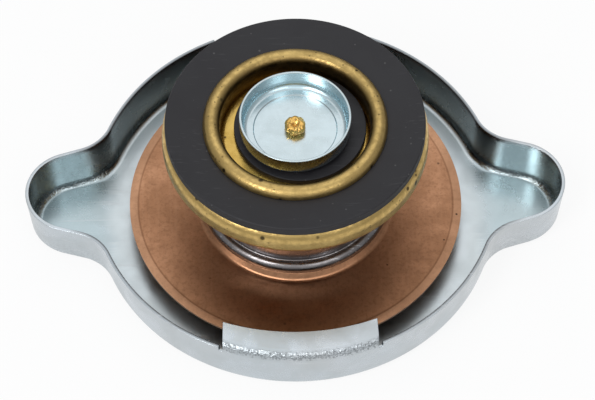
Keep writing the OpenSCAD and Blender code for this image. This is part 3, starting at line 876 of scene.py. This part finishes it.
# Rubber seal
# Moulded rubber ring that fills the dish and closes the neck's ledge. Its face is a shallow cone that
# rises from under the curl to the outer edge, which stands out over the brass rim.
seal_low, seal_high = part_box("pressure_seal")
seal_r = seal_high.x
seal_edge_r = 0.3 * mm
seal_body_r = 19.46 * mm
seal_heel = 0.2 * mm
seal_lip_h, seal_lip_rise = 4.05 * mm, 0.05 * mm
seal_face_h = 4.7 * mm
seal_fill_r = 1.35 * mm
seal_fill_turn = 76.6
clamp_gap = 0.1 * mm
clamp_r = tube_r + 2 * curl_r + clamp_gap
neck_r = tube_r + dish_t
seal_fill_end = dish_rim_c + seal_fill_r
seal_lip_z = seal_low.z + seal_lip_h
seal_face_z = seal_low.z + seal_face_h
seal_edge_z = seal_high.z - seal_edge_r
seal_heel_z = seal_low.z + seal_heel
seal = turn("rubber_seal", (neck_r, seal_heel_z), (neck_r + seal_heel, seal_low.z),
            (dish_r - dish_bend_r, seal_low.z), (seal_fill_end, dish_bend_z), (seal_fill_end, dish_rim_z),
            (dish_rim_c, dish_rim_z, seal_fill_turn), (seal_body_r, seal_lip_z),
            (seal_r, seal_lip_z + seal_lip_rise), (seal_r, seal_edge_z),
            (seal_r - seal_edge_r, seal_edge_z, 90), (clamp_r, seal_face_z), (neck_r, seal_face_z),
            (neck_r, seal_heel_z), sides=200)
smooth(seal)
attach(seal, "pressure_valve")
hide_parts("pressure_seal")

rubber_black = (0.010, 0.0095, 0.0125, 1)
rubber_grey = (0.014, 0.013, 0.016, 1)
rubber_scuffed = (0.10, 0.10, 0.105, 1)
rubber_dust = (0.13, 0.13, 0.13, 1)
rubber, tree, shader, place = new_material("moulded_rubber", metallic=0.0)
clouds = effect(tree, patches, place, Scale=160.0, Spread=0.25)
marks = effect(tree, scuffs, place, Scale=110.0, Share=0.5)
dust = effect(tree, pits, place, Scale=1500.0, Share=0.08, Size=0.35)
colour = tint(tree, clouds, rubber_black, rubber_grey)
colour = stain(tree, colour, rubber_scuffed, marks, 0.35)
tree.links.new(stain(tree, colour, rubber_dust, dust, 0.5), shader["Base Color"])
tree.links.new(between(tree, clouds, 0.52, 0.62), shader["Roughness"])
bump(tree, shader, noise(tree, place, 2600.0, 2.0), 0.01 * mm)
dress(seal, rubber)


# Stem keeper
# A small plate of the same brass as the seat, on the foot of the vacuum stem. The light spring pushes it
# down, and the clinched foot of the stem holds it.
keeper_low, keeper_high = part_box("stem_keeper")
stem_r = 1.1 * mm
keeper_edge = 0.08 * mm


def flat_ring(name, hole_r, outer_r, low_z, high_z, sides):
    return turn(name, (hole_r, low_z), (outer_r, low_z), (outer_r, high_z), (hole_r, high_z),
                (hole_r, low_z), sides=sides)


keeper = flat_ring("keeper", stem_r, keeper_high.x, keeper_low.z, keeper_high.z, sides=96)
break_edges(keeper, keeper_edge)
smooth(keeper)
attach(keeper, "vacuum_valve")
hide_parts("stem_keeper")
dress(keeper, clean_brass)


# Vacuum washer
# A flat ring of the same rubber as the seal, loose on the stem under the cup, a little spread and slipped
# to one side. It closes on the crown of the vacuum seat.
washer_low, washer_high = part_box("vacuum_seal")
washer_slip_x, washer_slip_y = 0.2 * mm, 0.8 * mm
washer_spread = 0.5 * mm
washer_hole_r = 2.4 * mm
washer_edge = 0.15 * mm
washer_place = ((washer_low.x + washer_high.x) / 2 + washer_slip_x, washer_slip_y, 0)
washer_r = (washer_high.x - washer_low.x) / 2 + washer_spread
washer = flat_ring("rubber_washer", washer_hole_r, washer_r, washer_low.z, washer_high.z, sides=140)
break_edges(washer, washer_edge, segments=3)
bpy.ops.object.mode_set(mode="EDIT")
bpy.ops.mesh.select_all(action="SELECT")
bpy.ops.transform.translate(value=washer_place)
bpy.ops.object.mode_set(mode="OBJECT")
smooth(washer)
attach(washer, "vacuum_valve")
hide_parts("vacuum_seal")
dress(washer, rubber)


# Vacuum cup
# A small pressed cup of bright zinc-plated steel, with a step round its floor. It carries the washer and
# is held by the peened stem.
cup_low, cup_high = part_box("vacuum_cup")
cup_r = cup_high.x
cup_t = 0.4 * mm
cup_edge = 0.1 * mm
cup_bend_r = 1.4 * mm
cup_step_r = 6.7 * mm
cup_step_h = 0.15 * mm
cup_ledge_z = cup_low.z + cup_step_h
cup_bend_c = cup_r - cup_bend_r
cup = turn("plated_cup", (stem_r, cup_low.z), (cup_step_r, cup_low.z),
           (cup_step_r + cup_step_h, cup_ledge_z), (cup_bend_c, cup_ledge_z),
           (cup_bend_c, cup_ledge_z + cup_bend_r, 90), (cup_r, cup_high.z))
thicken(cup, cup_t, cup_edge)
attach(cup, "vacuum_valve")
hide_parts("vacuum_cup")

blue_from_z = cup_ledge_z + 0.5 * mm
blue_to_z = cup_high.z - 0.02 * mm


def in_wall(p, normal):
    """The wall inside the cup, which is given a lighter, bluer colour."""
    return 1.0 if outwards(p, normal) < 0 and blue_from_z < p.z < blue_to_z else 0.0


cup_light = (0.57, 0.66, 0.69, 1)
cup_dull = (0.52, 0.60, 0.62, 1)
cup_blue = (0.58, 0.75, 0.81, 1)
cup_scuffed = (0.82, 0.85, 0.86, 1)
mark(cup, "in_wall", in_wall)
bright_zinc, tree, shader, place = new_material("bright_zinc")
clouds = effect(tree, patches, place, Scale=300.0, Spread=0.25)
marks = effect(tree, scuffs, place, Scale=160.0, Share=0.6)
colour = tint(tree, clouds, cup_light, cup_dull)
colour = tint(tree, marked(tree, "in_wall"), colour, cup_blue)
tree.links.new(stain(tree, colour, cup_scuffed, marks, 0.4), shader["Base Color"])
gloss = plus(tree, between(tree, clouds, 0.22, 0.3), marks, 0.1)
tree.links.new(gloss, shader["Roughness"])
bump(tree, shader, noise(tree, place, 400.0, 2.0), 0.012 * mm)
dress(cup, bright_zinc)


# Vacuum stem
# A brass stem down the middle of the vacuum valve. Its hollow upper end is rolled over in the cup by a
# few blows, which leave an uneven knob with a pit in it, and its foot is clinched under the keeper.
stem_low, stem_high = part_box("vacuum_stem")
stem_head_r = stem_high.x
stem_head_h = 1.2 * mm
stem_head_z = stem_high.z - stem_head_h
foot_r = 1.6 * mm
foot_h = 0.6 * mm
foot_z = stem_low.z + foot_h
foot_ball, foot_turn = dome(foot_r, foot_h)
roll_r = 0.82 * mm
roll_rise = 0.85 * mm
roll_c = Vector((stem_head_r - roll_r, stem_head_z + roll_rise))
roll_start = radians(-75)
roll_turn = 215
pit_rise = 0.4 * mm
pit_z = roll_c.y + pit_rise
lump_size, lump_depth, lump_middle = 0.8 * mm, 0.5 * mm, 0.55
lump_from_z = stem_head_z + 0.15 * mm
stem = turn("stem", (0, stem_low.z), (0, stem_low.z + foot_ball, foot_turn), (stem_r, foot_z),
            (stem_r, stem_head_z), roll_c + roll_r * Vector((cos(roll_start), sin(roll_start))),
            (*roll_c, roll_turn), (0, pit_z), sides=96, degrees_a_step=5)
lumps = bpy.data.textures.new("lumps", "CLOUDS")
lumps.noise_scale = lump_size
head = stem.vertex_groups.new(name="head")
head.add([point.index for point in stem.data.vertices if point.co.z > lump_from_z], 1, "REPLACE")
modify(stem, "DISPLACE", texture=lumps, vertex_group="head", strength=lump_depth, mid_level=lump_middle)
smooth(stem)
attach(stem, "vacuum_valve")
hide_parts("vacuum_stem")

stem_bright = (0.90, 0.57, 0.17, 1)
stem_dull = (0.72, 0.40, 0.10, 1)
peened_brass, tree, shader, place = new_material("peened_brass")
clouds = effect(tree, patches, place, Scale=900.0, Spread=0.2)
tree.links.new(tint(tree, clouds, stem_bright, stem_dull), shader["Base Color"])
tree.links.new(between(tree, clouds, 0.12, 0.24), shader["Roughness"])
bump(tree, shader, clouds, 0.03 * mm)
dress(stem, peened_brass)


# Floor and light
# A white table under a soft white tent, brightest at the back, with a soft box at the left and the right
# of the camera. The table looks white to the camera and in the metal, and keeps the shadow.
white = (1, 1, 1, 1)
table_tone = (0.9, 0.9, 0.9, 1)
table_w = 6
table_glow = 0.88
bpy.ops.object.select_all(action="DESELECT")
bpy.ops.mesh.primitive_plane_add(size=table_w)
floor = bpy.context.object
floor.name = "floor"
paper = bpy.data.materials.new("white_table")
paper.use_nodes = True
tree = paper.node_tree
tree.nodes.remove(tree.nodes["Principled BSDF"])
seen = add(tree, "LightPath").outputs
direct = maths(tree, "MAXIMUM", seen["Is Camera Ray"], seen["Is Glossy Ray"])
direct = maths(tree, "MAXIMUM", direct, seen["Is Transmission Ray"])
glow = add(tree, "Emission", {"Color": white, "Strength": 1.0}).outputs[0]
matte = add(tree, "BsdfDiffuse", {"Color": table_tone}).outputs[0]
shown = add(tree, "MixShader", {0: times(tree, direct, table_glow), 1: matte, 2: glow}).outputs[0]
tree.links.new(shown, tree.nodes["Material Output"].inputs["Surface"])
dress(floor, paper)

# The tent has brighter panels at the back, at the front and overhead, each given by its direction, its
# half width in degrees and the strength that it adds
tent_tone = (0.97, 0.985, 1, 1)
tent_strength = 0.42
panels = (((0, 0.56, 0.83), 38, 0.75), ((0, -0.57, 0.82), 50, 0.4), ((0, 0, 1), 40, 0.3))
world = bpy.data.worlds.new("tent")
bpy.context.scene.world = world
world.use_nodes = True
tree = world.node_tree
tent = tree.nodes["Background"]
tent.inputs["Color"].default_value = tent_tone
way = add(tree, "TexCoord").outputs["Generated"]
strength = tent_strength
for towards, half_width, added in panels:
    lean = add(tree, "VectorMath", {0: way, 1: towards}, operation="DOT_PRODUCT").outputs["Value"]
    strength = maths(tree, "ADD", strength, ramp(tree, lean, cos(radians(half_width)), 1, 0, added))
tree.links.new(strength, tent.inputs["Strength"])
backdrop = add(tree, "Background", {"Color": white, "Strength": 1.0}).outputs[0]
camera_ray = add(tree, "LightPath").outputs["Is Camera Ray"]
shown = add(tree, "MixShader", {0: camera_ray, 1: tent.outputs[0], 2: backdrop}).outputs[0]
tree.links.new(shown, tree.nodes["World Output"].inputs["Surface"])

box_w, box_h = 0.4, 0.6


def soft_box(name, place, watts):
    """A soft box, taller than wide, that faces the cap."""
    lamp = bpy.data.lights.new(name, "AREA")
    lamp.shape = "RECTANGLE"
    lamp.size = box_w
    lamp.size_y = box_h
    lamp.energy = watts
    box = bpy.data.objects.new(name, lamp)
    box.location = place
    box.rotation_euler = (-Vector(place)).to_track_quat("-Z", "Y").to_euler()
    bpy.context.scene.collection.objects.link(box)


soft_box("left_box", (-0.6, -0.6, 0.99), watts=4.8)
soft_box("right_box", (0.46, -0.71, 0.99), watts=1.2)


# Camera
# Stands in front and looks down steeply at a point on the axis just above the outer face. Its place was
# solved from the outlines of the ears and the round pieces, and the lens is long, as for a product picture.
photo_w = 595
photo_h = 400
focal_px = 2688
aim_px = (295.6, 212.8)
aim = Vector((0, 0, 0.8 * mm))
distance = 0.4445
elevation = radians(55.9)
azimuth = radians(-1.38)
roll = radians(-0.27)
back = Vector((sin(azimuth) * cos(elevation), -cos(azimuth) * cos(elevation), sin(elevation)))
right = Vector((cos(azimuth), sin(azimuth), 0))
up = back.cross(right)
across = right * cos(roll) + up * sin(roll)
upright = up * cos(roll) - right * sin(roll)
turned = Matrix((across, upright, back)).transposed().to_4x4()
lens = bpy.data.cameras.new("camera")
lens.lens = focal_px * lens.sensor_width / photo_w
lens.shift_x = (photo_w / 2 - aim_px[0]) / photo_w
lens.shift_y = (aim_px[1] - photo_h / 2) / photo_w
lens.clip_start = 0.01
camera = bpy.data.objects.new("camera", lens)
camera.matrix_world = Matrix.Translation(aim + distance * back) @ turned
bpy.context.scene.collection.objects.link(camera)
bpy.context.scene.camera = camera
bpy.context.scene.view_settings.view_transform = "Standard"
